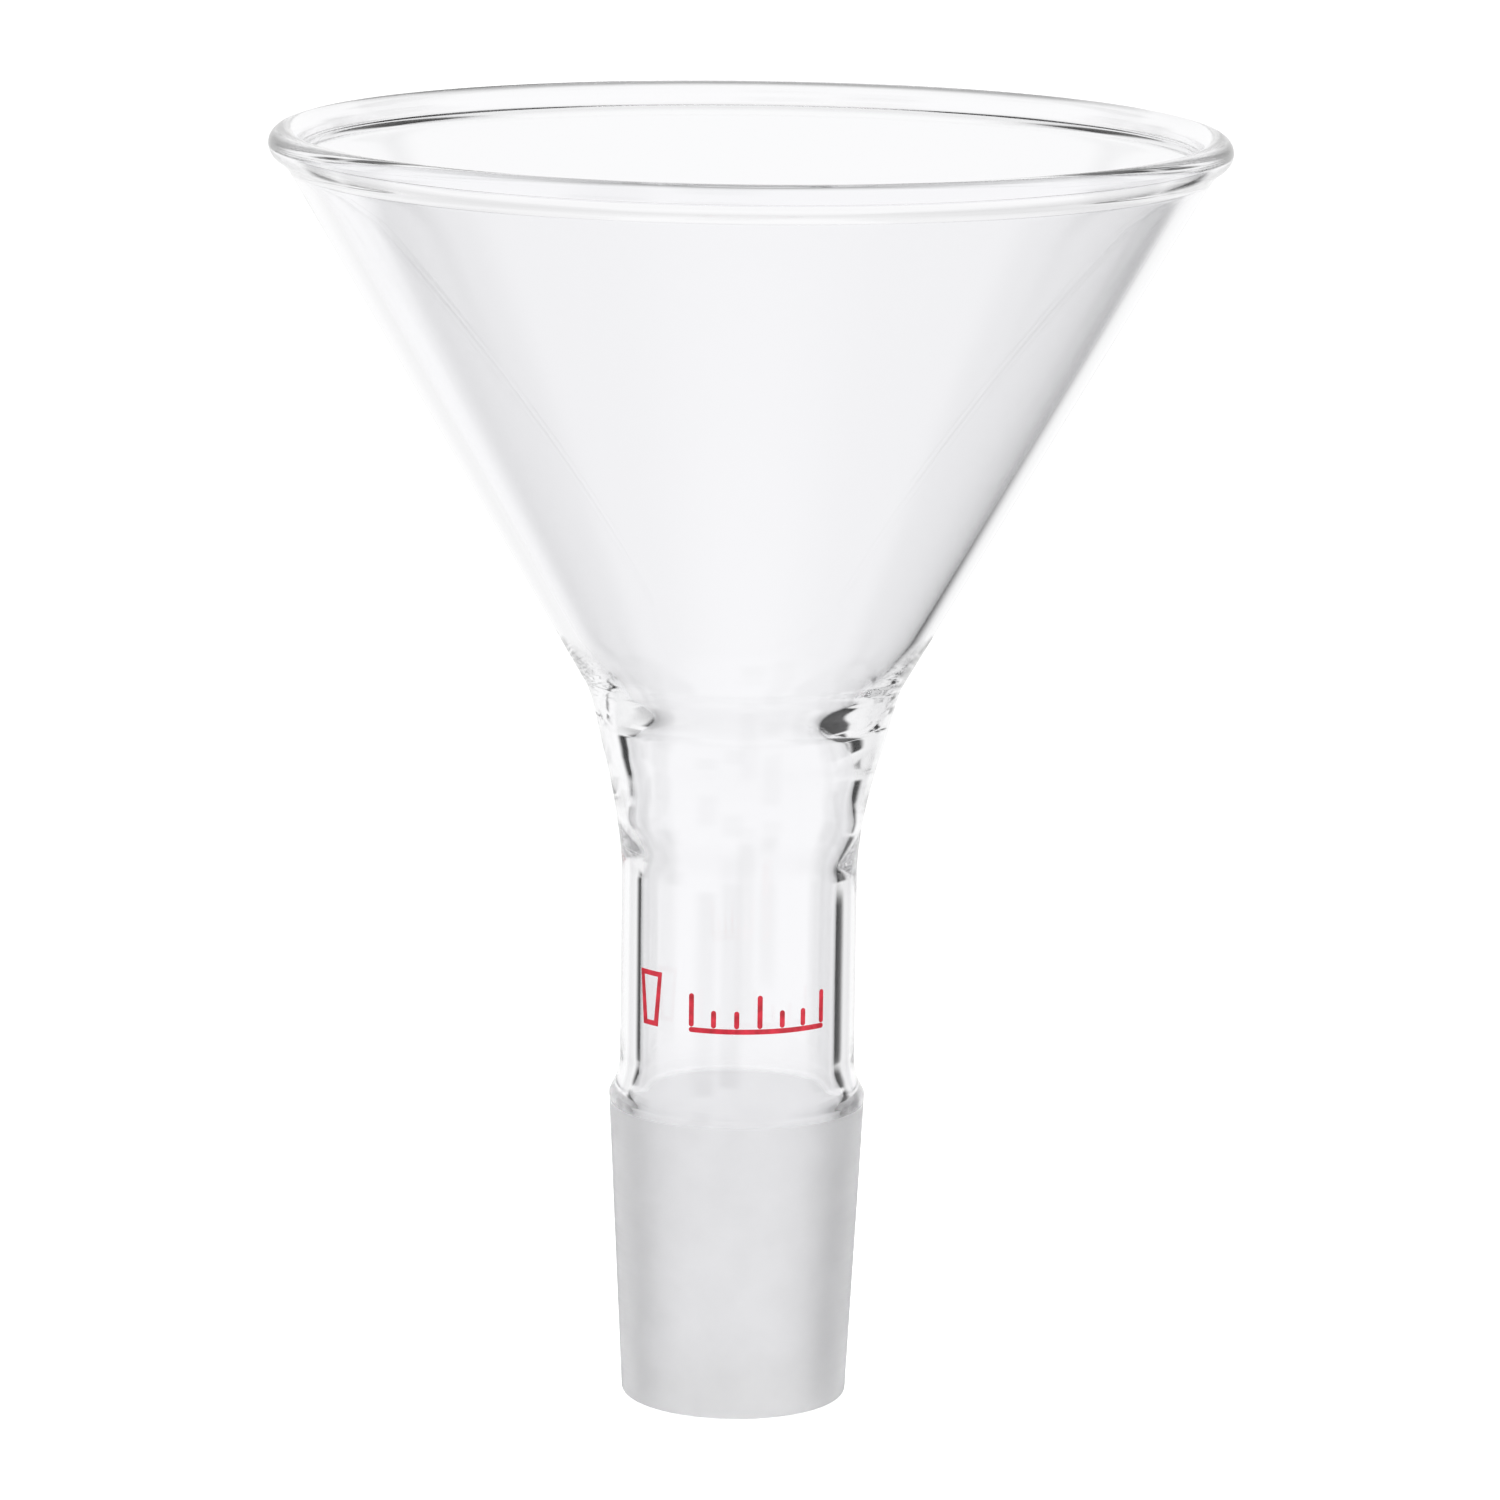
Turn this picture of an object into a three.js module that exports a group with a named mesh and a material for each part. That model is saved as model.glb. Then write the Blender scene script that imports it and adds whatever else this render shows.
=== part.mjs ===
// Powder funnel: a 60 degree borosilicate glass cone on a short stem that ends in a 24/29 ground taper joint.
// It is one fused piece of glass. Each mesh is one zone of it, as the glassblower makes and joins them.
// Millimetres, +Z up. The origin is the centre of the joint's lower end face, on the funnel's axis.

import * as THREE from "three";

// 24/29 standard taper joint: 24.0 mm across at the top of the ground zone, 29 mm long, 1 in 10 on diameter.
const JOINT_TOP_RADIUS = 12.0;
const JOINT_LENGTH = 29;
const JOINT_TAPER = 1 / 10;
const JOINT_WALL = 1.9;
const JOINT_END_BEVEL = 0.3;
const SHOULDER_OUTER_PULLS = [
  [12.0, 30.9],
  [11.0, 30.3],
];
const SHOULDER_BORE_PULLS = [
  [10.1, 30.5],
  [9.15, 31.0],
];

// Stem: plain 22 mm tubing between the joint's shoulder and the flared neck.
const STEM_RADIUS = 11.0;
const STEM_WALL = 1.85;
const STEM_FOOT = 32.6;
const STEM_TOP = 50;

// Neck: the stem's flared end, then the thick fused ring where it is sealed to the cone.
const SEAL_FOOT = 62;
const SEAL_OUTER_RADIUS = 13.05;
const SEAL_BORE_RADIUS = 10.15;
const NECK_OUTER_PULLS = [
  [11.0, 53.5],
  [12.1, 58.9],
];
const NECK_BORE_PULLS = [
  [9.15, 53.6],
  [10.9, 54.5],
];
const SEAL_OUTER_PULLS = [
  [13.48, 63.4],
  [14.1, 67.0],
];
const SEAL_BORE_PULLS = [
  [10.05, 63.6],
  [11.68, 65.8],
];

// Cone: 60 degrees across, with a wall of even thickness, from the seal up to the rim bead.
const CONE_FOOT = 68.3;
const CONE_FOOT_RADIUS = 14.85;
const CONE_HALF_ANGLE = THREE.MathUtils.degToRad(30);
const CONE_WALL = 1.5;
const CONE_TOP = 116.7;

// Rim: a fire-polished bead, 1.43 mm in section radius, 88.3 mm across outside.
const BEAD_SECTION_RADIUS = 1.43;
const BEAD_CENTRE_RADIUS = 42.7;
const BEAD_CENTRE_HEIGHT = 118.2;
const BEAD_ARC_START = THREE.MathUtils.degToRad(-80);
const BEAD_ARC_END = THREE.MathUtils.degToRad(210);

// Size mark: a thin fired enamel film on the front of the stem, just clear of the glass facets.
const FILM_CLEARANCE = 0.05;
const FILM_THICKNESS = 0.1;
const MARK_FOOT = 37.1;
const MARK_STROKE = 0.42;
const TAPER_MARK_CENTRE = -9.0;
const TAPER_MARK_HEIGHT = 5.2;
const TAPER_MARK_TOP_WIDTH = 2.8;
const TAPER_MARK_FOOT_WIDTH = 1.9;
const SCALE_MARK_START = -4.6;
const SCALE_TICK_PITCH = 2.15;
const SCALE_TICK_HEIGHTS = [3.2, 1.7, 1.7, 3.2, 1.7, 1.7, 3.2];

// Fineness of the facets.
const TURN_SEGMENTS = 64;
const CURVE_STEPS = 6;
const BEAD_STEPS = 14;
const FILM_STEP = 0.7;

const clearGlass = new THREE.MeshStandardMaterial({
  color: 0xf1f4f6,
  roughness: 0.04,
  metalness: 0,
  transparent: true,
  opacity: 0.35,
});
const groundGlass = new THREE.MeshStandardMaterial({ color: 0xe2e2e4, roughness: 0.85, metalness: 0 });
const redEnamel = new THREE.MeshStandardMaterial({ color: 0xcc1a2c, roughness: 0.45, metalness: 0 });

const point = (radius, height) => new THREE.Vector2(radius, height);

function coneOuterRadius(height) {
  return CONE_FOOT_RADIUS + (height - CONE_FOOT) * Math.tan(CONE_HALF_ANGLE);
}

function coneInnerRadius(height) {
  return coneOuterRadius(height) - CONE_WALL / Math.cos(CONE_HALF_ANGLE);
}

function jointOuterRadius(height) {
  return JOINT_TOP_RADIUS - ((JOINT_LENGTH - height) * JOINT_TAPER) / 2;
}

// A smooth stretch of a wall from one point to another, pulled towards two points between them.
function bend(start, pulls, end) {
  const controls = pulls.map(([radius, height]) => point(radius, height));
  return new THREE.CubicBezierCurve(start, ...controls, end).getPoints(CURVE_STEPS);
}

// A ring of glass wall: its section is the outer line going up and the inner line coming back down.
function wallRing(name, outerLine, innerLine, material) {
  const section = [...outerLine, ...innerLine.toReversed(), outerLine[0]];
  const geometry = new THREE.LatheGeometry(section, TURN_SEGMENTS);
  geometry.rotateX(Math.PI / 2);
  const mesh = new THREE.Mesh(geometry, material);
  mesh.name = name;
  return mesh;
}

function rimBead() {
  const arc = new THREE.EllipseCurve(
    BEAD_CENTRE_RADIUS,
    BEAD_CENTRE_HEIGHT,
    BEAD_SECTION_RADIUS,
    BEAD_SECTION_RADIUS,
    BEAD_ARC_START,
    BEAD_ARC_END,
  );
  const outerLine = [point(coneOuterRadius(CONE_TOP), CONE_TOP), ...arc.getPoints(BEAD_STEPS)];
  const innerLine = [point(coneInnerRadius(CONE_TOP), CONE_TOP)];
  return wallRing("rim_bead", outerLine, innerLine, clearGlass);
}

function funnelCone() {
  const line = (radiusAt) => [CONE_FOOT, CONE_TOP].map((height) => point(radiusAt(height), height));
  return wallRing("funnel_cone", line(coneOuterRadius), line(coneInnerRadius), clearGlass);
}

// The outside goes on down from the cone at a gentler slope, and the bore has a rounded ledge inside.
function neckSeal() {
  const outerFoot = point(SEAL_OUTER_RADIUS, SEAL_FOOT);
  const outerTop = point(coneOuterRadius(CONE_FOOT), CONE_FOOT);
  const boreFoot = point(SEAL_BORE_RADIUS, SEAL_FOOT);
  const boreTop = point(coneInnerRadius(CONE_FOOT), CONE_FOOT);
  const outerLine = bend(outerFoot, SEAL_OUTER_PULLS, outerTop);
  const boreLine = bend(boreFoot, SEAL_BORE_PULLS, boreTop);
  return wallRing("neck_seal", outerLine, boreLine, clearGlass);
}

function flaredNeck() {
  const outerFoot = point(STEM_RADIUS, STEM_TOP);
  const outerTop = point(SEAL_OUTER_RADIUS, SEAL_FOOT);
  const boreFoot = point(STEM_RADIUS - STEM_WALL, STEM_TOP);
  const boreTop = point(SEAL_BORE_RADIUS, SEAL_FOOT);
  const outerLine = bend(outerFoot, NECK_OUTER_PULLS, outerTop);
  const boreLine = bend(boreFoot, NECK_BORE_PULLS, boreTop);
  return wallRing("flared_neck", outerLine, boreLine, clearGlass);
}

function stemTube() {
  const line = (radius) => [point(radius, STEM_FOOT), point(radius, STEM_TOP)];
  return wallRing("stem_tube", line(STEM_RADIUS), line(STEM_RADIUS - STEM_WALL), clearGlass);
}

// The clear, rounded step from the ground zone in to the stem. The bore steps in behind it.
function jointShoulder() {
  const outerFoot = point(JOINT_TOP_RADIUS, JOINT_LENGTH);
  const outerTop = point(STEM_RADIUS, STEM_FOOT);
  const boreFoot = point(JOINT_TOP_RADIUS - JOINT_WALL, JOINT_LENGTH);
  const boreTop = point(STEM_RADIUS - STEM_WALL, STEM_FOOT);
  const outerLine = bend(outerFoot, SHOULDER_OUTER_PULLS, outerTop);
  const boreLine = bend(boreFoot, SHOULDER_BORE_PULLS, boreTop);
  return wallRing("joint_shoulder", outerLine, boreLine, clearGlass);
}

function groundCone() {
  const outerLine = [
    point(jointOuterRadius(0) - JOINT_END_BEVEL, 0),
    point(jointOuterRadius(JOINT_END_BEVEL), JOINT_END_BEVEL),
    point(JOINT_TOP_RADIUS, JOINT_LENGTH),
  ];
  const innerLine = [
    point(jointOuterRadius(0) - JOINT_WALL + JOINT_END_BEVEL, 0),
    point(jointOuterRadius(JOINT_END_BEVEL) - JOINT_WALL, JOINT_END_BEVEL),
    point(JOINT_TOP_RADIUS - JOINT_WALL, JOINT_LENGTH),
  ];
  return wallRing("ground_cone", outerLine, innerLine, groundGlass);
}

// Wraps a flat film round the stem: its x is the distance round from the front, y the height, z the thickness.
function enamelFilm(name, geometry) {
  const position = geometry.getAttribute("position");
  const filmRadius = STEM_RADIUS + FILM_CLEARANCE;
  for (let i = 0; i < position.count; i++) {
    const angle = position.getX(i) / filmRadius;
    const radius = filmRadius + position.getZ(i);
    position.setXYZ(i, radius * Math.sin(angle), -radius * Math.cos(angle), position.getY(i));
  }
  geometry.computeVertexNormals();
  const mesh = new THREE.Mesh(geometry, redEnamel);
  mesh.name = name;
  return mesh;
}

// Adds points along straight edges, so that an outline can be wrapped round the stem.
function dividedEdges(corners) {
  return corners.flatMap((start, i) => {
    const end = corners[(i + 1) % corners.length];
    const steps = Math.ceil(start.distanceTo(end) / FILM_STEP);
    return Array.from({ length: steps }, (_, k) => start.clone().lerp(end, k / steps));
  });
}

// The four corners of the taper sign, drawn in by inset from its outer edge.
function taperCorners(inset) {
  const foot = MARK_FOOT + inset;
  const top = MARK_FOOT + TAPER_MARK_HEIGHT - inset;
  const halfFoot = TAPER_MARK_FOOT_WIDTH / 2 - inset;
  const halfTop = TAPER_MARK_TOP_WIDTH / 2 - inset;
  return [
    point(TAPER_MARK_CENTRE - halfFoot, foot),
    point(TAPER_MARK_CENTRE + halfFoot, foot),
    point(TAPER_MARK_CENTRE + halfTop, top),
    point(TAPER_MARK_CENTRE - halfTop, top),
  ];
}

// A plain outline of a tapered plug, narrow end down.
function taperMark() {
  const shape = new THREE.Shape(dividedEdges(taperCorners(0)));
  shape.holes.push(new THREE.Path(dividedEdges(taperCorners(MARK_STROKE))));
  const geometry = new THREE.ExtrudeGeometry(shape, { depth: FILM_THICKNESS, bevelEnabled: false });
  return enamelFilm("taper_mark", geometry);
}

// A bar of enamel with its lower left corner at (left, foot).
function bar(name, left, foot, width, height) {
  const geometry = new THREE.BoxGeometry(width, height, FILM_THICKNESS, Math.ceil(width / FILM_STEP));
  geometry.translate(left + width / 2, foot + height / 2, FILM_THICKNESS / 2);
  return enamelFilm(name, geometry);
}

// A short ruler: a base line with long and short ticks standing on it.
function scaleMarks() {
  const lineLength = SCALE_TICK_PITCH * (SCALE_TICK_HEIGHTS.length - 1) + MARK_STROKE;
  const baseLine = bar("scale_line", SCALE_MARK_START, MARK_FOOT, lineLength, MARK_STROKE);
  const tickFoot = MARK_FOOT + MARK_STROKE + FILM_CLEARANCE;
  const ticks = SCALE_TICK_HEIGHTS.map((height, i) => {
    const left = SCALE_MARK_START + SCALE_TICK_PITCH * i;
    return bar(`scale_tick_${i + 1}`, left, tickFoot, MARK_STROKE, height);
  });
  return [baseLine, ...ticks];
}

const funnel = new THREE.Group();
funnel.add(rimBead(), funnelCone(), neckSeal(), flaredNeck(), stemTube(), jointShoulder(), groundCone());
funnel.add(taperMark(), ...scaleMarks());

export default funnel;
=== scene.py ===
"""A clear glass powder funnel with a ground 24/29 joint, standing on a white studio floor.

The real funnel is one fused piece of glass, so its seven CAD glass nodes are shown as one closed glass
mesh, made by turning one wall section round the axis and then pushing it about as the flame left it.
Everything is in metres and +Z is up. The main heights and radii come from the CAD nodes' boxes, and the
curves between them are drawn with the pull points named below.
"""

import math

import bmesh
import bpy
from mathutils import Matrix, Vector, noise

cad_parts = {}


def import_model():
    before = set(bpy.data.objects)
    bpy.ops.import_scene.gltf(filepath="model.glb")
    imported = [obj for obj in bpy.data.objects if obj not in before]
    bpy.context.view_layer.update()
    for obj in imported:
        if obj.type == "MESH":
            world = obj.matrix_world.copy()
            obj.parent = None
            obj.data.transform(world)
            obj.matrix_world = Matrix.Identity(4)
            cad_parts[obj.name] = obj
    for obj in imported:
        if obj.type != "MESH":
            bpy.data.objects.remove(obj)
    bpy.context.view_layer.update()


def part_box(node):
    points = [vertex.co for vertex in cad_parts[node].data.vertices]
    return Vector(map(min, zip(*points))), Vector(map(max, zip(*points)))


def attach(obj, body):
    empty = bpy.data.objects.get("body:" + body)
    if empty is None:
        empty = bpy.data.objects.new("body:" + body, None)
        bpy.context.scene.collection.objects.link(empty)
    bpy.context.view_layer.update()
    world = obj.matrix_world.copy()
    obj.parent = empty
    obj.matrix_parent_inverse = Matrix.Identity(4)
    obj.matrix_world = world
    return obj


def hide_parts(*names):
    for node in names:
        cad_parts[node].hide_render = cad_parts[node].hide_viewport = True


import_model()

MM = 0.001


# ---------------------------------------------------------------- sizes

def outer_radius_of(node):
    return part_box(node)[1].x


def foot_of(node):
    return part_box(node)[0].z


def top_of(node):
    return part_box(node)[1].z


JOINT_TOP_RADIUS = outer_radius_of("ground_cone")
JOINT_LENGTH = top_of("ground_cone")
JOINT_TAPER = 1 / 10
JOINT_WALL = 1.9 * MM
JOINT_BEVEL = 0.3 * MM
STEM_RADIUS = outer_radius_of("stem_tube")
STEM_WALL = 1.85 * MM
STEM_BORE = STEM_RADIUS - STEM_WALL
STEM_FOOT = foot_of("stem_tube")
STEM_TOP = top_of("stem_tube")
SEAL_FOOT = foot_of("neck_seal")
SEAL_OUTER = outer_radius_of("flared_neck")
SEAL_BORE = 10.15 * MM
CONE_FOOT = foot_of("funnel_cone")
CONE_FOOT_RADIUS = outer_radius_of("neck_seal")
CONE_TOP = top_of("funnel_cone")
CONE_TOP_RADIUS = outer_radius_of("funnel_cone")
CONE_SLOPE = (CONE_TOP_RADIUS - CONE_FOOT_RADIUS) / (CONE_TOP - CONE_FOOT)
CONE_WALL = 1.5 * MM
CONE_WALL_ACROSS = CONE_WALL * math.sqrt(1 + CONE_SLOPE ** 2)
RIM_TOP = top_of("rim_bead")
BEAD_SECTION = 1.43 * MM
BEAD_RADIUS = outer_radius_of("rim_bead") - BEAD_SECTION
BEAD_HEIGHT = RIM_TOP - BEAD_SECTION
BEAD_START = -55
BEAD_END = 190
FILLET_DROP = 0.8 * MM
TURN_STEPS = 288

# How far the bevels' corners are rounded off.
CORNER_ROUND = 0.05 * MM
CORNER_RISE = 0.02 * MM

# Pull points of the outside's curves, each (radius, height), from the joint upwards.
SHOULDER_PULLS = [(11.75 * MM, 29.75 * MM), (11.1 * MM, 30.1 * MM)]
NECK_PULLS = [(11.0 * MM, 53.5 * MM), (12.1 * MM, 58.9 * MM)]
SEAL_PULLS = [(13.48 * MM, 63.4 * MM), (14.1 * MM, 67 * MM)]

# The bore's places and pull points, from the cone downwards. The wall thickens towards the throat.
THICK_WALL_TOP = 74 * MM
THICK_WALL_PULLS = [(13.8 * MM, 69.5 * MM), (11.0 * MM, 66.3 * MM)]
THROAT = (10.35 * MM, 64.4 * MM)
THROAT_PULLS = [(10.2 * MM, 63.5 * MM), (10.1 * MM, 62.8 * MM)]
NECK_BORE_PULLS = [(10.9 * MM, 54.5 * MM), (9.15 * MM, 53.6 * MM)]
FLARE_PULLS = [(STEM_BORE, 30.4 * MM), (9.5 * MM, 29.9 * MM), (10.1 * MM, 29.2 * MM)]
FLARE_FOOT = 28.2 * MM


# ---------------------------------------------------------------- small helpers

def node_tree(material):
    """The material's node tree with its shader, ready for more nodes."""
    material.use_nodes = True
    tree = material.node_tree
    return tree, tree.nodes["Principled BSDF"]


def add_node(tree, kind, **values):
    """A new node. Names that are sockets set the socket, and the rest are the node's own settings."""
    node = tree.nodes.new(kind)
    for name, value in values.items():
        socket = name.replace("_", " ")
        if socket in node.inputs:
            node.inputs[socket].default_value = value
        else:
            setattr(node, name, value)
    return node


def new_object(name, data):
    thing = bpy.data.objects.new(name, data)
    bpy.context.scene.collection.objects.link(thing)
    return thing


def smoothstep(low, high, value):
    share = min(1.0, max(0.0, (value - low) / (high - low)))
    return share * share * (3 - 2 * share)


def bezier(points, steps):
    """Points along a Bezier curve of any order, ends included."""
    line = []
    for i in range(steps + 1):
        t = i / steps
        level = [Vector(p) for p in points]
        while len(level) > 1:
            level = [a.lerp(b, t) for a, b in zip(level, level[1:])]
        line.append(level[0])
    return line


def straight(start, end, steps):
    return [Vector(start).lerp(Vector(end), i / steps) for i in range(steps + 1)]


def arc(centre, radius, start_degrees, end_degrees, steps):
    line = []
    for i in range(steps + 1):
        angle = math.radians(start_degrees + (end_degrees - start_degrees) * i / steps)
        line.append(Vector((centre[0] + radius * math.cos(angle), centre[1] + radius * math.sin(angle))))
    return line


# ---------------------------------------------------------------- the glass wall's section

def joint_radius(height):
    return JOINT_TOP_RADIUS - (JOINT_LENGTH - height) * JOINT_TAPER / 2


def cone_radius(height):
    return CONE_FOOT_RADIUS + (height - CONE_FOOT) * CONE_SLOPE


def outside_line():
    """The outside from the joint's end face up to the bead, as (radius, height)."""
    end_edge = (joint_radius(0) - JOINT_BEVEL, 0)
    bevel_top = (joint_radius(JOINT_BEVEL), JOINT_BEVEL)
    shoulder = (JOINT_TOP_RADIUS, JOINT_LENGTH)
    stem_foot = (STEM_RADIUS, STEM_FOOT)
    stem_top = (STEM_RADIUS, STEM_TOP)
    seal = (SEAL_OUTER, SEAL_FOOT)
    cone_foot = (CONE_FOOT_RADIUS, CONE_FOOT)
    cone_top = (cone_radius(CONE_TOP - FILLET_DROP), CONE_TOP - FILLET_DROP)
    end_corner = (joint_radius(0) - CORNER_ROUND, CORNER_RISE)
    line = bezier([end_edge, end_corner, bevel_top], 4)
    line += straight(bevel_top, shoulder, 12)[1:]
    line += bezier([shoulder, *SHOULDER_PULLS, stem_foot], 22)[1:]
    line += straight(stem_foot, stem_top, 8)[1:]
    line += bezier([stem_top, *NECK_PULLS, seal], 30)[1:]
    line += bezier([seal, *SEAL_PULLS, cone_foot], 18)[1:]
    line += straight(cone_foot, cone_top, 24)[1:]
    return line


def corner(start, start_slope, end, end_slope):
    """Where two lines meet: each goes through its point with its (radius, height) direction."""
    across = start_slope.x * end_slope.y - start_slope.y * end_slope.x
    gap = end - start
    return start + start_slope * ((gap.x * end_slope.y - gap.y * end_slope.x) / across)


def bead_line(wall_top, wall_inside):
    """The fire-polished bead, run out into both sides of the cone's wall with soft fillets."""
    centre = (BEAD_RADIUS, BEAD_HEIGHT)
    bead = arc(centre, BEAD_SECTION, BEAD_START, BEAD_END, 40)
    slope = Vector((CONE_SLOPE, 1))
    start_turn = math.radians(BEAD_START)
    end_turn = math.radians(BEAD_END)
    start_slope = Vector((-math.sin(start_turn), math.cos(start_turn)))
    end_slope = Vector((-math.sin(end_turn), math.cos(end_turn)))
    under = corner(wall_top, slope, bead[0], start_slope)
    inside = corner(bead[-1], end_slope, wall_inside, slope)
    line = bezier([wall_top, under, bead[0]], 10)[1:]
    line += bead[1:]
    line += bezier([bead[-1], inside, wall_inside], 10)[1:-1]
    return line


def bore_line():
    """The inside from under the bead down to the joint's end face."""
    cone_top = (cone_radius(CONE_TOP - FILLET_DROP) - CONE_WALL_ACROSS, CONE_TOP - FILLET_DROP)
    thick_top = (cone_radius(THICK_WALL_TOP) - CONE_WALL_ACROSS, THICK_WALL_TOP)
    seal = (SEAL_BORE, SEAL_FOOT)
    stem_top = (STEM_BORE, STEM_TOP)
    stem_foot = (STEM_BORE, STEM_FOOT)
    flare_foot = (joint_radius(FLARE_FOOT) - JOINT_WALL, FLARE_FOOT)
    bevel_top = (joint_radius(JOINT_BEVEL) - JOINT_WALL, JOINT_BEVEL)
    end_corner = (joint_radius(0) - JOINT_WALL + CORNER_ROUND, CORNER_RISE)
    end_edge = (joint_radius(0) - JOINT_WALL + JOINT_BEVEL, 0)
    line = straight(cone_top, thick_top, 22)
    line += bezier([thick_top, *THICK_WALL_PULLS, THROAT], 40)[1:]
    line += bezier([THROAT, *THROAT_PULLS, seal], 12)[1:]
    line += bezier([seal, *NECK_BORE_PULLS, stem_top], 40)[1:]
    line += straight(stem_top, stem_foot, 8)[1:]
    line += bezier([stem_foot, *FLARE_PULLS, flare_foot], 20)[1:]
    line += straight(flare_foot, bevel_top, 10)[1:]
    line += bezier([bevel_top, end_corner, end_edge], 4)[1:]
    return line


# ---------------------------------------------------------------- how the flame left the wall

# The stem was sealed on slightly to one side of the cone, so the cone shifts towards +X over the neck.
CONE_OFFSET = 0.26 * MM
OFFSET_START = 54 * MM
OFFSET_END = 67 * MM

# Waviness: its depth, how close the waves lie round the wall and up it, and where it starts and is full.
WAVE_DEPTH = 0.012 * MM
WAVE_ROUND = 1.6
WAVE_UP = 0.06
WAVE_START = 30 * MM
WAVE_FULL = 36 * MM

# How far the flame-worked bore stands out from its drawn line: (height, on the -X side, on the +X side), mm.
# It was measured at the two bore lines in the photo and then softened, so it is not a plain reading.
WORKED_BORE = [
    (49.0, 0.0, 0.0),
    (51.0, 0.0, 0.15),
    (52.5, -0.04, 0.30),
    (54.0, 0.0, 0.3),
    (55.5, 0.02, 0.2),
    (57.0, -0.1, 0.0),
    (58.5, -0.22, -0.1),
    (60.5, -0.12, 0.05),
    (62.0, 0.14, 0.05),
    (63.4, 0.32, -0.2),
    (64.8, 0.3, -0.4),
    (66.4, 0.1, -0.25),
    (68.0, 0.0, -0.05),
    (70.0, 0.0, 0.0),
]


def worked_bore(height):
    """The bore's push on the -X and the +X side at one height, on a smooth curve through the list."""
    level = height / MM
    if level <= WORKED_BORE[0][0] or level >= WORKED_BORE[-1][0]:
        return 0.0, 0.0
    stops = [WORKED_BORE[0]] + WORKED_BORE + [WORKED_BORE[-1]]
    place = next(i for i in range(1, len(stops) - 2) if level <= stops[i + 1][0])
    before, low, high, after = stops[place - 1:place + 3]
    gap = high[0] - low[0]
    t = (level - low[0]) / gap
    pushes = []
    for side in (1, 2):
        low_slope = (high[side] - before[side]) / (high[0] - before[0]) * gap
        high_slope = (after[side] - low[side]) / (after[0] - low[0]) * gap
        rise = high[side] - low[side]
        bend = t * t * (3 - 2 * t) * rise
        bend += t * (1 - t) ** 2 * low_slope - t * t * (1 - t) * high_slope
        pushes.append((low[side] + bend) * MM)
    return pushes


def worked_push(direction, height):
    """The uneven flame-worked bore: strongest on its two sides, and even at its front and back."""
    minus_side, plus_side = worked_bore(height)
    return minus_side * max(0.0, -direction.x) ** 3 + plus_side * max(0.0, direction.x) ** 3


def blown_push(on_bore, direction, height):
    """The slow waviness that all blown and drawn glass has."""
    seed = Vector((11.0, 0.5, 4.2)) if on_bore else Vector((5.0, 2.0, 9.0))
    place = Vector((direction.x * WAVE_ROUND, direction.y * WAVE_ROUND, height / MM * WAVE_UP)) + seed
    return WAVE_DEPTH * noise.noise(place) * smoothstep(WAVE_START, WAVE_FULL, height)


def glass_point(section, on_bore, turn):
    """Where a point of the section lies at one turn round the axis, in the glass as the flame left it."""
    radius, height = section
    direction = Vector((math.cos(turn), math.sin(turn)))
    shift = CONE_OFFSET * smoothstep(OFFSET_START, OFFSET_END, height)
    push = blown_push(on_bore, direction, height)
    if on_bore:
        push += worked_push(direction, height)
    flat = direction * (radius + push)
    return Vector((flat.x + shift, flat.y, height))


# ---------------------------------------------------------------- the glass body

FROST_TOP = JOINT_LENGTH


def glass_body(clear, ground):
    """The closed glass mesh, with the ground finish on the outside of the joint and clear glass elsewhere."""
    outside = outside_line()
    bore = bore_line()
    outside += bead_line(outside[-1], bore[0])
    section = [(point, False) for point in outside] + [(point, True) for point in bore]
    mesh = bpy.data.meshes.new("funnel_glass")
    work = bmesh.new()
    rings = []
    for i in range(TURN_STEPS):
        turn = math.tau * i / TURN_STEPS
        rings.append([work.verts.new(glass_point(point, on_bore, turn)) for point, on_bore in section])
    count = len(section)
    for i, ring in enumerate(rings):
        following = rings[(i + 1) % TURN_STEPS]
        for j in range(count):
            k = (j + 1) % count
            face = work.faces.new((ring[j], following[j], following[k], ring[k]))
            face.smooth = True
            frosted = not section[j][1] and not section[k][1] and section[k][0].y <= FROST_TOP
            face.material_index = 1 if frosted else 0
    work.to_mesh(mesh)
    work.free()
    mesh.materials.append(clear)
    mesh.materials.append(ground)
    return new_object("funnel_glass", mesh)


# ---------------------------------------------------------------- the enamel signs

FILM_LIFT = 0.005 * MM
FILM_THICKNESS = 0.05 * MM
STROKE = 0.48 * MM
STROKE_STEP = 0.4 * MM
STROKE_TIP = 0.12
STROKE_END_STEPS = 4
MARK_FOOT = 37.1 * MM
TAPER_CENTRE = -9.0 * MM
TAPER_HEIGHT = 5.2 * MM
TAPER_TOP_WIDTH = 2.8 * MM
TAPER_FOOT_WIDTH = 1.9 * MM
SCALE_START = -4.6 * MM
TICK_PITCH = 2.15 * MM
TICK_GAP = 0.08 * STROKE
TICK_HEIGHTS = [3.2 * MM, 1.7 * MM, 1.7 * MM, 3.2 * MM, 1.7 * MM, 1.7 * MM, 3.2 * MM]


def on_stem(across, height, lift):
    """Where a point of the flat sign lies: across is the distance round the stem from its front."""
    radius = STEM_RADIUS + lift
    angle = across / STEM_RADIUS
    return Vector((radius * math.sin(angle), -radius * math.cos(angle), height))


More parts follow.
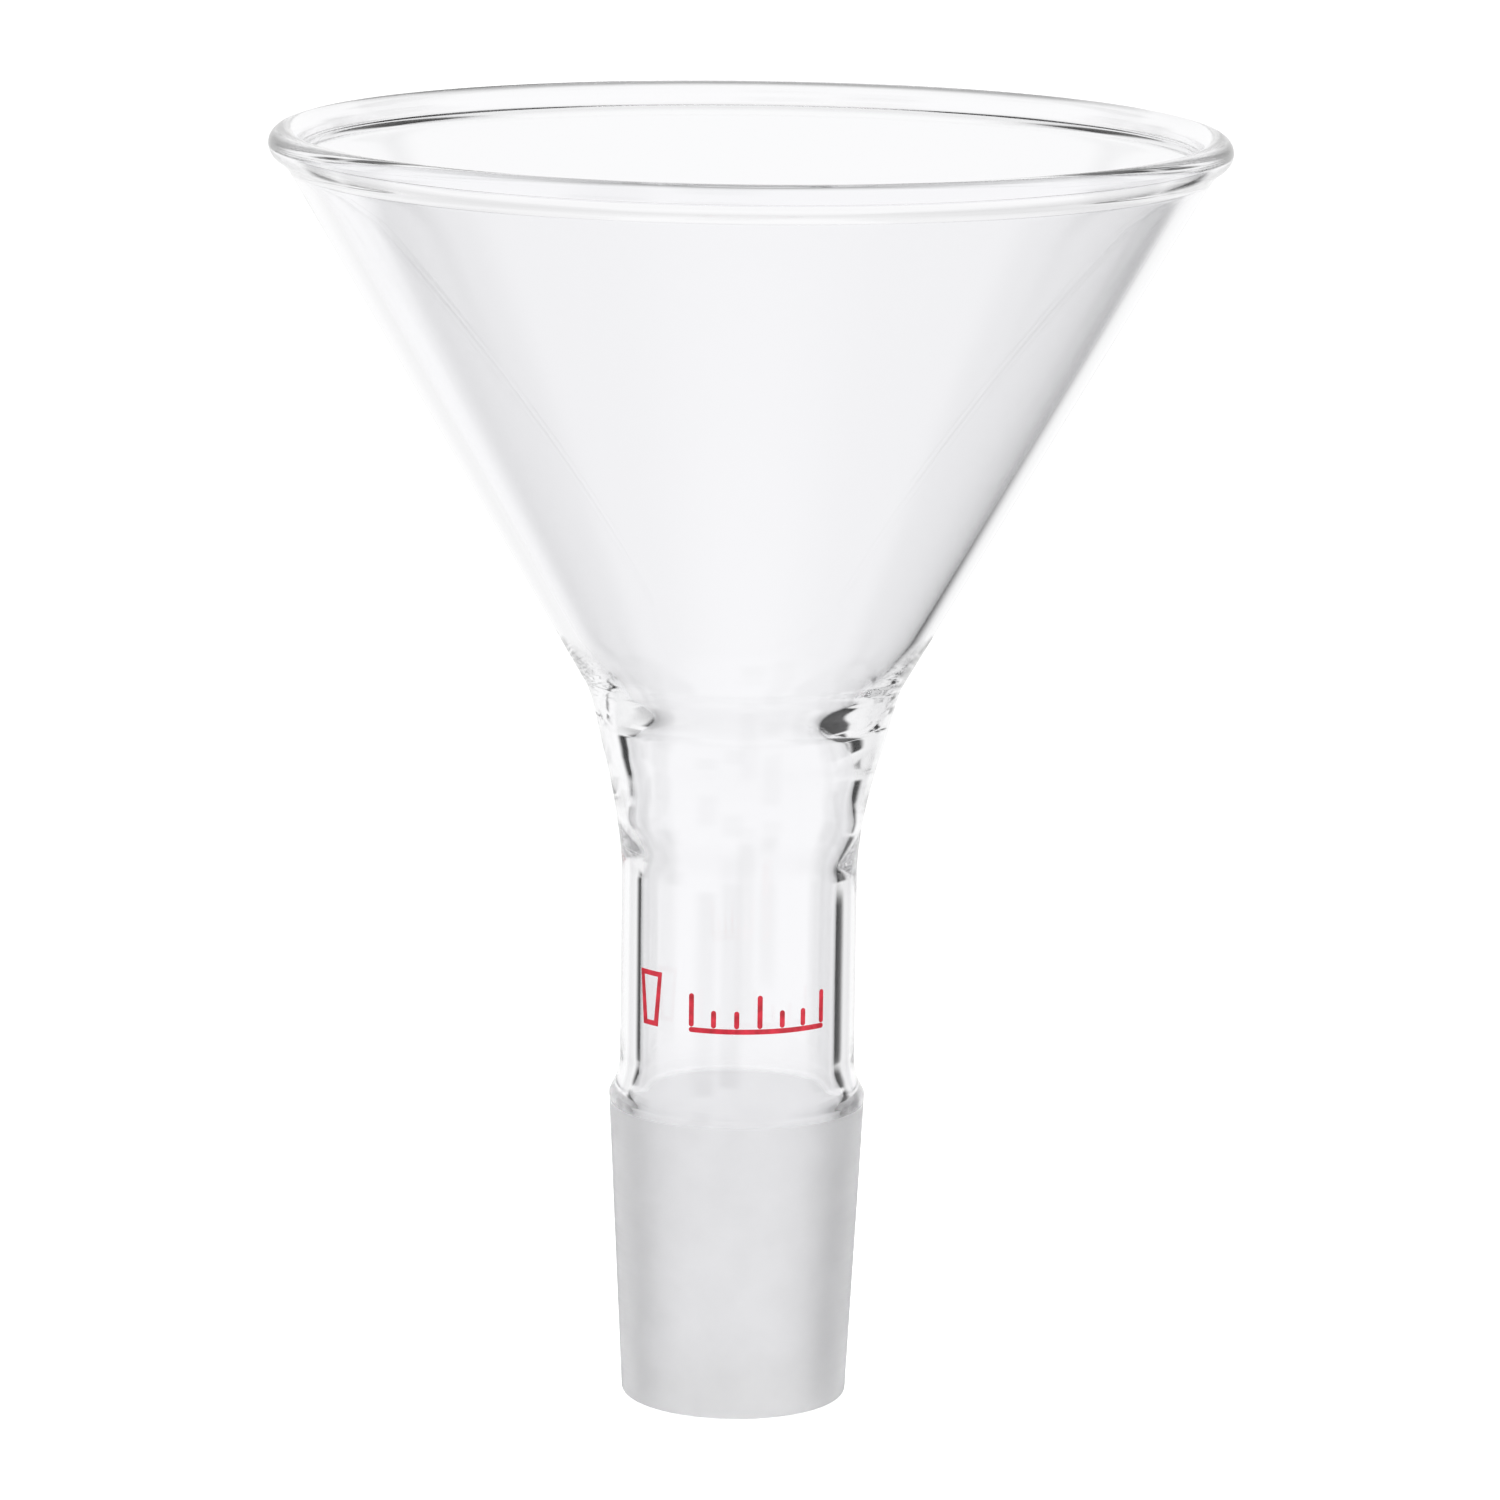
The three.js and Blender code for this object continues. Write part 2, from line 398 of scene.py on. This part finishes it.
def add_film(work, left_edge, right_edge, closed=False):
    """A thin film between two edges of the flat sign, each a list of (across, height)."""
    low = FILM_LIFT
    high = FILM_LIFT + FILM_THICKNESS
    rows = []
    for left, right in zip(left_edge, right_edge):
        row = (on_stem(*left, low), on_stem(*right, low), on_stem(*right, high), on_stem(*left, high))
        rows.append([work.verts.new(p) for p in row])
    pairs = list(zip(rows, rows[1:]))
    if closed:
        pairs.append((rows[-1], rows[0]))
    for near, far in pairs:
        for j in range(4):
            k = (j + 1) % 4
            work.faces.new((near[j], near[k], far[k], far[j]))
    if not closed:
        work.faces.new(rows[0][::-1])
        work.faces.new(rows[-1])


def stroke_edges(start, end):
    """The two edges of a straight pen stroke, with round ends that close to a narrow tip."""
    start = Vector(start)
    end = Vector(end)
    along = (end - start).normalized()
    side = Vector((-along.y, along.x))
    half = STROKE / 2
    stations = []
    for i in range(STROKE_END_STEPS + 1):
        angle = math.pi / 2 * (1 - i / STROKE_END_STEPS)
        stations.append((start - along * half * math.sin(angle), max(STROKE_TIP, math.cos(angle))))
    steps = max(2, math.ceil((end - start).length / STROKE_STEP))
    stations += [(start.lerp(end, i / steps), 1.0) for i in range(1, steps)]
    for i in range(STROKE_END_STEPS + 1):
        angle = math.pi / 2 * i / STROKE_END_STEPS
        stations.append((end + along * half * math.sin(angle), max(STROKE_TIP, math.cos(angle))))
    left = [place + side * half * width for place, width in stations]
    right = [place - side * half * width for place, width in stations]
    return left, right


def film_object(name, material, work):
    bmesh.ops.recalc_face_normals(work, faces=work.faces)
    mesh = bpy.data.meshes.new(name)
    work.to_mesh(mesh)
    work.free()
    mesh.materials.append(material)
    return new_object(name, mesh)


def taper_corners(inset):
    """The four corners of the tapered plug's outline, moved in by inset."""
    foot = MARK_FOOT + inset
    top = MARK_FOOT + TAPER_HEIGHT - inset
    half_foot = TAPER_FOOT_WIDTH / 2 - inset
    half_top = TAPER_TOP_WIDTH / 2 - inset
    return [
        Vector((TAPER_CENTRE - half_foot, foot)),
        Vector((TAPER_CENTRE + half_foot, foot)),
        Vector((TAPER_CENTRE + half_top, top)),
        Vector((TAPER_CENTRE - half_top, top)),
    ]


def divided(corners, steps=8):
    """A closed outline with each side cut into equal steps, so that it can bend round the stem."""
    ends = corners[1:] + corners[:1]
    return [a.lerp(b, i / steps) for a, b in zip(corners, ends) for i in range(steps)]


def taper_sign(enamel):
    """The outline of a tapered plug, narrow end down."""
    work = bmesh.new()
    add_film(work, divided(taper_corners(STROKE)), divided(taper_corners(0)), closed=True)
    return film_object("taper_sign", enamel, work)


def scale_sign(enamel):
    """A short ruler: a base line with long and short ticks standing on it."""
    half = STROKE / 2
    left = SCALE_START + half
    base = MARK_FOOT + half
    right = left + TICK_PITCH * (len(TICK_HEIGHTS) - 1)
    work = bmesh.new()
    add_film(work, *stroke_edges((left, base), (right, base)))
    for i, height in enumerate(TICK_HEIGHTS):
        across = left + TICK_PITCH * i
        foot = base + STROKE + TICK_GAP
        add_film(work, *stroke_edges((across, foot), (across, base + height)))
    return film_object("scale_sign", enamel, work)


# ---------------------------------------------------------------- materials

GLASS_IOR = 1.473
GLASS_TINT = (0.972, 0.972, 0.982, 1)
HAZE_ROUGHNESS = 0.02
DRAW_LINE_BUMP = 0.03
BUMP_DEPTH = 0.02 * MM

# The ground zone: its full depth ends below its upper edge, and fades out up to it.
FROST_FULL = FROST_TOP - 0.9 * MM
FROST_END = FROST_TOP - 0.1 * MM
FROST_TRANSMISSION = 0.82
FROST_BUMP = 0.5
FROST_RING_SHARE = 0.3
FROST_TONES = [(0.3, (0.83, 0.83, 0.84, 1)), (0.7, (0.89, 0.89, 0.90, 1))]

ENAMEL_BUMP = 0.4
# Enamel from thick to thin, and the glass showing where it is worn.
ENAMEL_TONES = [(0.3, (0.42, 0.004, 0.016, 1)), (0.7, (0.74, 0.018, 0.05, 1)), (0.78, (0.88, 0.3, 0.33, 1))]


def add_noise(tree, scale, detail, stretch=(1, 1, 1)):
    """Fine noise in the object's own coordinates, drawn out along an axis by stretch."""
    place = add_node(tree, "ShaderNodeTexCoord")
    squeeze = add_node(tree, "ShaderNodeMapping", Scale=stretch)
    texture = add_node(tree, "ShaderNodeTexNoise", Scale=scale, Detail=detail)
    tree.links.new(place.outputs["Object"], squeeze.inputs["Vector"])
    tree.links.new(squeeze.outputs["Vector"], texture.inputs["Vector"])
    return texture.outputs["Fac"]


def add_range(tree, value, low, high, to_low, to_high):
    """Map a value from one range to another, clamped."""
    node = add_node(tree, "ShaderNodeMapRange", From_Min=low, From_Max=high, To_Min=to_low, To_Max=to_high)
    tree.links.new(value, node.inputs["Value"])
    return node.outputs["Result"]


def add_bump(tree, shader, height, strength, depth):
    bump = add_node(tree, "ShaderNodeBump", Strength=strength, Distance=depth)
    tree.links.new(height, bump.inputs["Height"])
    tree.links.new(bump.outputs["Normal"], shader.inputs["Normal"])
    return bump


def add_tones(tree, value, tones):
    """A colour ramp through (position, colour) stops."""
    node = add_node(tree, "ShaderNodeValToRGB")
    stops = node.color_ramp.elements
    while len(stops) < len(tones):
        stops.new(1.0)
    for stop, (position, colour) in zip(stops, tones):
        stop.position = position
        stop.color = colour
    tree.links.new(value, node.inputs["Fac"])
    return node.outputs["Color"]


def add_product(tree, first, second):
    node = add_node(tree, "ShaderNodeMath", operation="MULTIPLY")
    tree.links.new(first, node.inputs[0])
    tree.links.new(second, node.inputs[1])
    return node.outputs["Value"]


def clear_glass():
    """Fire-polished borosilicate: almost even, with faint draw lines and a trace of handling haze."""
    material = bpy.data.materials.new("clear_glass")
    tree, shader = node_tree(material)
    shader.inputs["Base Color"].default_value = GLASS_TINT
    shader.inputs["Transmission Weight"].default_value = 1
    shader.inputs["IOR"].default_value = GLASS_IOR
    haze = add_noise(tree, scale=55, detail=3)
    tree.links.new(add_range(tree, haze, 0.5, 0.85, 0, HAZE_ROUGHNESS), shader.inputs["Roughness"])
    draw_lines = add_noise(tree, scale=160, detail=2, stretch=(1, 1, 0.12))
    add_bump(tree, shader, draw_lines, DRAW_LINE_BUMP, BUMP_DEPTH)
    return material


def ground_glass():
    """The ground zone: matt white with fine grit and faint grinding rings, fading out at its upper edge."""
    material = bpy.data.materials.new("ground_glass")
    tree, shader = node_tree(material)
    shader.inputs["IOR"].default_value = GLASS_IOR
    place = add_node(tree, "ShaderNodeTexCoord")
    axes = add_node(tree, "ShaderNodeSeparateXYZ")
    tree.links.new(place.outputs["Object"], axes.inputs["Vector"])
    ground = add_range(tree, axes.outputs["Z"], FROST_FULL, FROST_END, 1, 0)
    cloud = add_noise(tree, scale=260, detail=5)
    grit = add_noise(tree, scale=5200, detail=3)
    rings = add_noise(tree, scale=420, detail=3, stretch=(0.15, 0.15, 6))
    tint = add_node(tree, "ShaderNodeMix", data_type="RGBA")
    tint.inputs["A"].default_value = GLASS_TINT
    tree.links.new(ground, tint.inputs["Factor"])
    tree.links.new(add_tones(tree, cloud, FROST_TONES), tint.inputs["B"])
    tree.links.new(tint.outputs["Result"], shader.inputs["Base Color"])
    clearness = add_range(tree, ground, 0, 1, 1, FROST_TRANSMISSION)
    tree.links.new(clearness, shader.inputs["Transmission Weight"])
    uneven = add_range(tree, rings, 0.3, 0.7, 0.46, 0.56)
    roughness = add_product(tree, add_product(tree, ground, ground), uneven)
    tree.links.new(roughness, shader.inputs["Roughness"])
    relief = add_node(tree, "ShaderNodeMix", data_type="FLOAT")
    relief.inputs["Factor"].default_value = FROST_RING_SHARE
    tree.links.new(grit, relief.inputs["A"])
    tree.links.new(rings, relief.inputs["B"])
    bump = add_bump(tree, shader, relief.outputs["Result"], FROST_BUMP, BUMP_DEPTH)
    tree.links.new(add_range(tree, ground, 0, 1, 0, FROST_BUMP), bump.inputs["Strength"])
    return material


def red_enamel():
    """Fired enamel: crimson, slightly uneven in depth, with small worn spots where the glass shows."""
    material = bpy.data.materials.new("red_enamel")
    tree, shader = node_tree(material)
    depth = add_noise(tree, scale=1400, detail=4)
    tree.links.new(add_tones(tree, depth, ENAMEL_TONES), shader.inputs["Base Color"])
    gloss = add_noise(tree, scale=900, detail=3)
    tree.links.new(add_range(tree, gloss, 0.3, 0.7, 0.25, 0.5), shader.inputs["Roughness"])
    add_bump(tree, shader, depth, ENAMEL_BUMP, BUMP_DEPTH)
    return material


# ---------------------------------------------------------------- studio

CAMERA_DISTANCE = 0.640
CAMERA_HEIGHT = 0.1905
CAMERA_SIDE = 0.00085
CAMERA_PITCH = 11.38
CAMERA_ROLL = 0.72
CAMERA_LENS = 168.3
CAMERA_SENSOR = 36


def camera():
    data = bpy.data.cameras.new("camera")
    data.lens = CAMERA_LENS
    data.sensor_width = CAMERA_SENSOR
    data.clip_start = 0.05
    data.clip_end = 60
    thing = new_object("camera", data)
    turn = Matrix.Rotation(math.radians(90 - CAMERA_PITCH), 4, "X")
    roll = Matrix.Rotation(math.radians(CAMERA_ROLL), 4, "Z")
    place = Matrix.Translation((CAMERA_SIDE, -CAMERA_DISTANCE, CAMERA_HEIGHT))
    thing.matrix_world = place @ turn @ roll
    bpy.context.scene.camera = thing


def matt_card(name, grey, glow):
    """An even matt material that also gives off some light of its own."""
    material = bpy.data.materials.new(name)
    shader = node_tree(material)[1]
    shader.inputs["Base Color"].default_value = (grey, grey, grey, 1)
    shader.inputs["Roughness"].default_value = 1
    shader.inputs["Specular IOR Level"].default_value = 0
    shader.inputs["Emission Color"].default_value = (1, 1, 1, 1)
    shader.inputs["Emission Strength"].default_value = glow
    return material


FLOOR_HALF = 5.9
FLOOR_LEVEL = -0.05 * MM
FLOOR_GREY = 0.8
FLOOR_GLOW = 0.62


def floor():
    """A white floor that the camera sees, but that light bent by the glass passes through to the dome."""
    mesh = bpy.data.meshes.new("studio_floor")
    half = FLOOR_HALF
    corners = [(-half, -half), (half, -half), (half, half), (-half, half)]
    mesh.from_pydata([(x, y, FLOOR_LEVEL) for x, y in corners], [], [(0, 1, 2, 3)])
    mesh.materials.append(matt_card("studio_floor", FLOOR_GREY, FLOOR_GLOW))
    thing = new_object("studio_floor", mesh)
    thing.visible_transmission = False
    thing.visible_glossy = False


# Painted shadow: a darker grey disc on the floor under the joint stands in for the floor's shade inside the
# bore.
SHADOW_DISC_RADIUS = 9.4 * MM
SHADOW_DISC_LEVEL = -0.03 * MM
SHADOW_DISC_GREY = 0.1
SHADOW_DISC_GLOW = 0.62


def painted_shadow_disc():
    """Painted shadow: a darker grey disc that stands in for the shaded floor inside the joint, which the
    glass and a look down the bore both show.
    """
    mesh = bpy.data.meshes.new("studio_painted_shadow")
    work = bmesh.new()
    bmesh.ops.create_circle(work, cap_ends=True, segments=64, radius=SHADOW_DISC_RADIUS)
    bmesh.ops.translate(work, verts=work.verts, vec=(0, 0, SHADOW_DISC_LEVEL))
    work.to_mesh(mesh)
    work.free()
    mesh.materials.append(matt_card("studio_painted_shadow", SHADOW_DISC_GREY, SHADOW_DISC_GLOW))
    new_object("studio_painted_shadow", mesh)


DOME_RADIUS = 6.0
DOME_STEP = 1

# Patches of the dome: (middle in degrees from +X, half width, fade, lowest and highest elevation).
# The dark flags draw the fine dark lines along the edges of clear glass, as a studio's black cards do.
DARK_FLAGS = [
    (42, 10, 6, -16, 9),
    (142, 7, 5, -16, 9),
    (35, 27, 6, -72, -20),
    (155, 18, 7, -72, -16),
    (14, 14, 5, -22, 11),
    (162, 10, 5, -22, 11),
    (42, 14, 6, 27, 60),
    (140, 11, 6, 27, 60),
    (5, 10, 6, -27, -5),
    (262, 10, 6, -27, -5),
    (192, 10, 6, -36, -17),
    (236, 10, 6, -14, 10),
]
FLAG_LEVEL = 0.02

# White windows keep the dome behind the glass white for looks from the other sides.
WHITE_WINDOWS = [
    (132, 14, 4, -31, -19),
    (315, 38, 6, -25, -4),
    (188, 18, 5, -5, 14),
    (90, 36, 6, -5, 14),
]
END_FADE = 2

# How bright the dome is where no patch lies. Straight behind the set it is 1.
DOME_TOP = 0.88
DOME_UNDERSIDE = 0.42
DOME_NADIR = 1.0
DOME_SIDES = 0.93

# Where each level fades in, in degrees: the turn away from +Y for the sides, and elevations for the rest.
SIDES_TURN = (8, 24)
SIDES_FOOT = (-19, -14)
TOP_FADE = (10, 30)
UNDERSIDE_FADE = (-50, -30)
NADIR_FADE = (-74, -60)


def patch_cover(patch, azimuth, elevation):
    """How much of one soft-edged patch lies in this direction, from 0 to 1."""
    middle, half_width, fade, low, high = patch
    turn = abs((azimuth - middle + 180) % 360 - 180)
    across = 1 - smoothstep(half_width - fade, half_width + fade, turn)
    above = smoothstep(low - END_FADE, low + END_FADE, elevation)
    below = 1 - smoothstep(high - END_FADE, high + END_FADE, elevation)
    return across * above * below


def dome_brightness(azimuth, elevation):
    """How bright the dome is in one direction: white all round, with a dimmer top and a dim ring low down."""
    turn = abs((azimuth - 90 + 180) % 360 - 180)
    sides = smoothstep(*SIDES_TURN, turn) * (1 - smoothstep(*SIDES_FOOT, elevation))
    level = 1.0 - (1.0 - DOME_SIDES) * sides
    level += (DOME_TOP - level) * smoothstep(*TOP_FADE, elevation)
    level += (DOME_UNDERSIDE - level) * (1 - smoothstep(*UNDERSIDE_FADE, elevation))
    level += (DOME_NADIR - level) * (1 - smoothstep(*NADIR_FADE, elevation))
    dark = max(patch_cover(flag, azimuth, elevation) for flag in DARK_FLAGS)
    level += (FLAG_LEVEL - level) * dark
    return max([level] + [patch_cover(window, azimuth, elevation) for window in WHITE_WINDOWS])


def dome_mesh():
    """A sphere with the brightness of each direction kept on its points as shade."""
    work = bmesh.new()
    shade = work.verts.layers.float.new("shade")
    columns = 360 // DOME_STEP
    rings = []
    for j in range(180 // DOME_STEP + 1):
        elevation = -90 + DOME_STEP * j
        ring = []
        for i in range(columns):
            azimuth = DOME_STEP * i
            flat = DOME_RADIUS * math.cos(math.radians(elevation))
            x = flat * math.cos(math.radians(azimuth))
            y = flat * math.sin(math.radians(azimuth))
            vertex = work.verts.new((x, y, DOME_RADIUS * math.sin(math.radians(elevation))))
            vertex[shade] = dome_brightness(azimuth, elevation)
            ring.append(vertex)
        rings.append(ring)
    for low, high in zip(rings, rings[1:]):
        for i in range(columns):
            k = (i + 1) % columns
            work.faces.new((low[i], high[i], high[k], low[k]))
    mesh = bpy.data.meshes.new("studio_dome")
    work.to_mesh(mesh)
    work.free()
    return mesh


def dome():
    """A lit dome all round the set, which only the light through and off the glass sees."""
    material = bpy.data.materials.new("studio_dome")
    material.use_nodes = True
    material.cycles.emission_sampling = "NONE"
    tree = material.node_tree
    tree.nodes.remove(tree.nodes["Principled BSDF"])
    glow = add_node(tree, "ShaderNodeEmission")
    value = add_node(tree, "ShaderNodeAttribute", attribute_name="shade")
    tree.links.new(value.outputs["Fac"], glow.inputs["Strength"])
    tree.links.new(glow.outputs["Emission"], tree.nodes["Material Output"].inputs["Surface"])
    mesh = dome_mesh()
    mesh.materials.append(material)
    thing = new_object("studio_dome", mesh)
    thing.visible_camera = False


def world():
    scene = bpy.context.scene
    scene.world = bpy.data.worlds.new("studio")
    scene.world.use_nodes = True
    scene.world.node_tree.nodes["Background"].inputs["Color"].default_value = (1, 1, 1, 1)


def render_settings():
    """Plain colours, and enough bounces for the light that is trapped in the wall."""
    scene = bpy.context.scene
    scene.view_settings.view_transform = "Standard"
    scene.cycles.max_bounces = 96
    scene.cycles.transmission_bounces = 96
    scene.cycles.glossy_bounces = 64
    scene.cycles.diffuse_bounces = 4
    scene.cycles.caustics_refractive = True
    scene.cycles.caustics_reflective = True
    scene.cycles.blur_glossy = 0.0
    scene.cycles.use_denoising = True


# ---------------------------------------------------------------- assembly

GLASS_NODES = [
    "rim_bead",
    "funnel_cone",
    "neck_seal",
    "flared_neck",
    "stem_tube",
    "joint_shoulder",
    "ground_cone",
]
SCALE_NODES = ["scale_line"] + [f"scale_tick_{i + 1}" for i in range(len(TICK_HEIGHTS))]

camera()
enamel = red_enamel()
for piece, nodes, slot in [
    (glass_body(clear_glass(), ground_glass()), GLASS_NODES, "clear_glass"),
    (taper_sign(enamel), ["taper_mark"], "red_enamel"),
    (scale_sign(enamel), SCALE_NODES, "red_enamel"),
]:
    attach(piece, "root")
    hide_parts(*nodes)

floor()
painted_shadow_disc()
dome()
world()
render_settings()
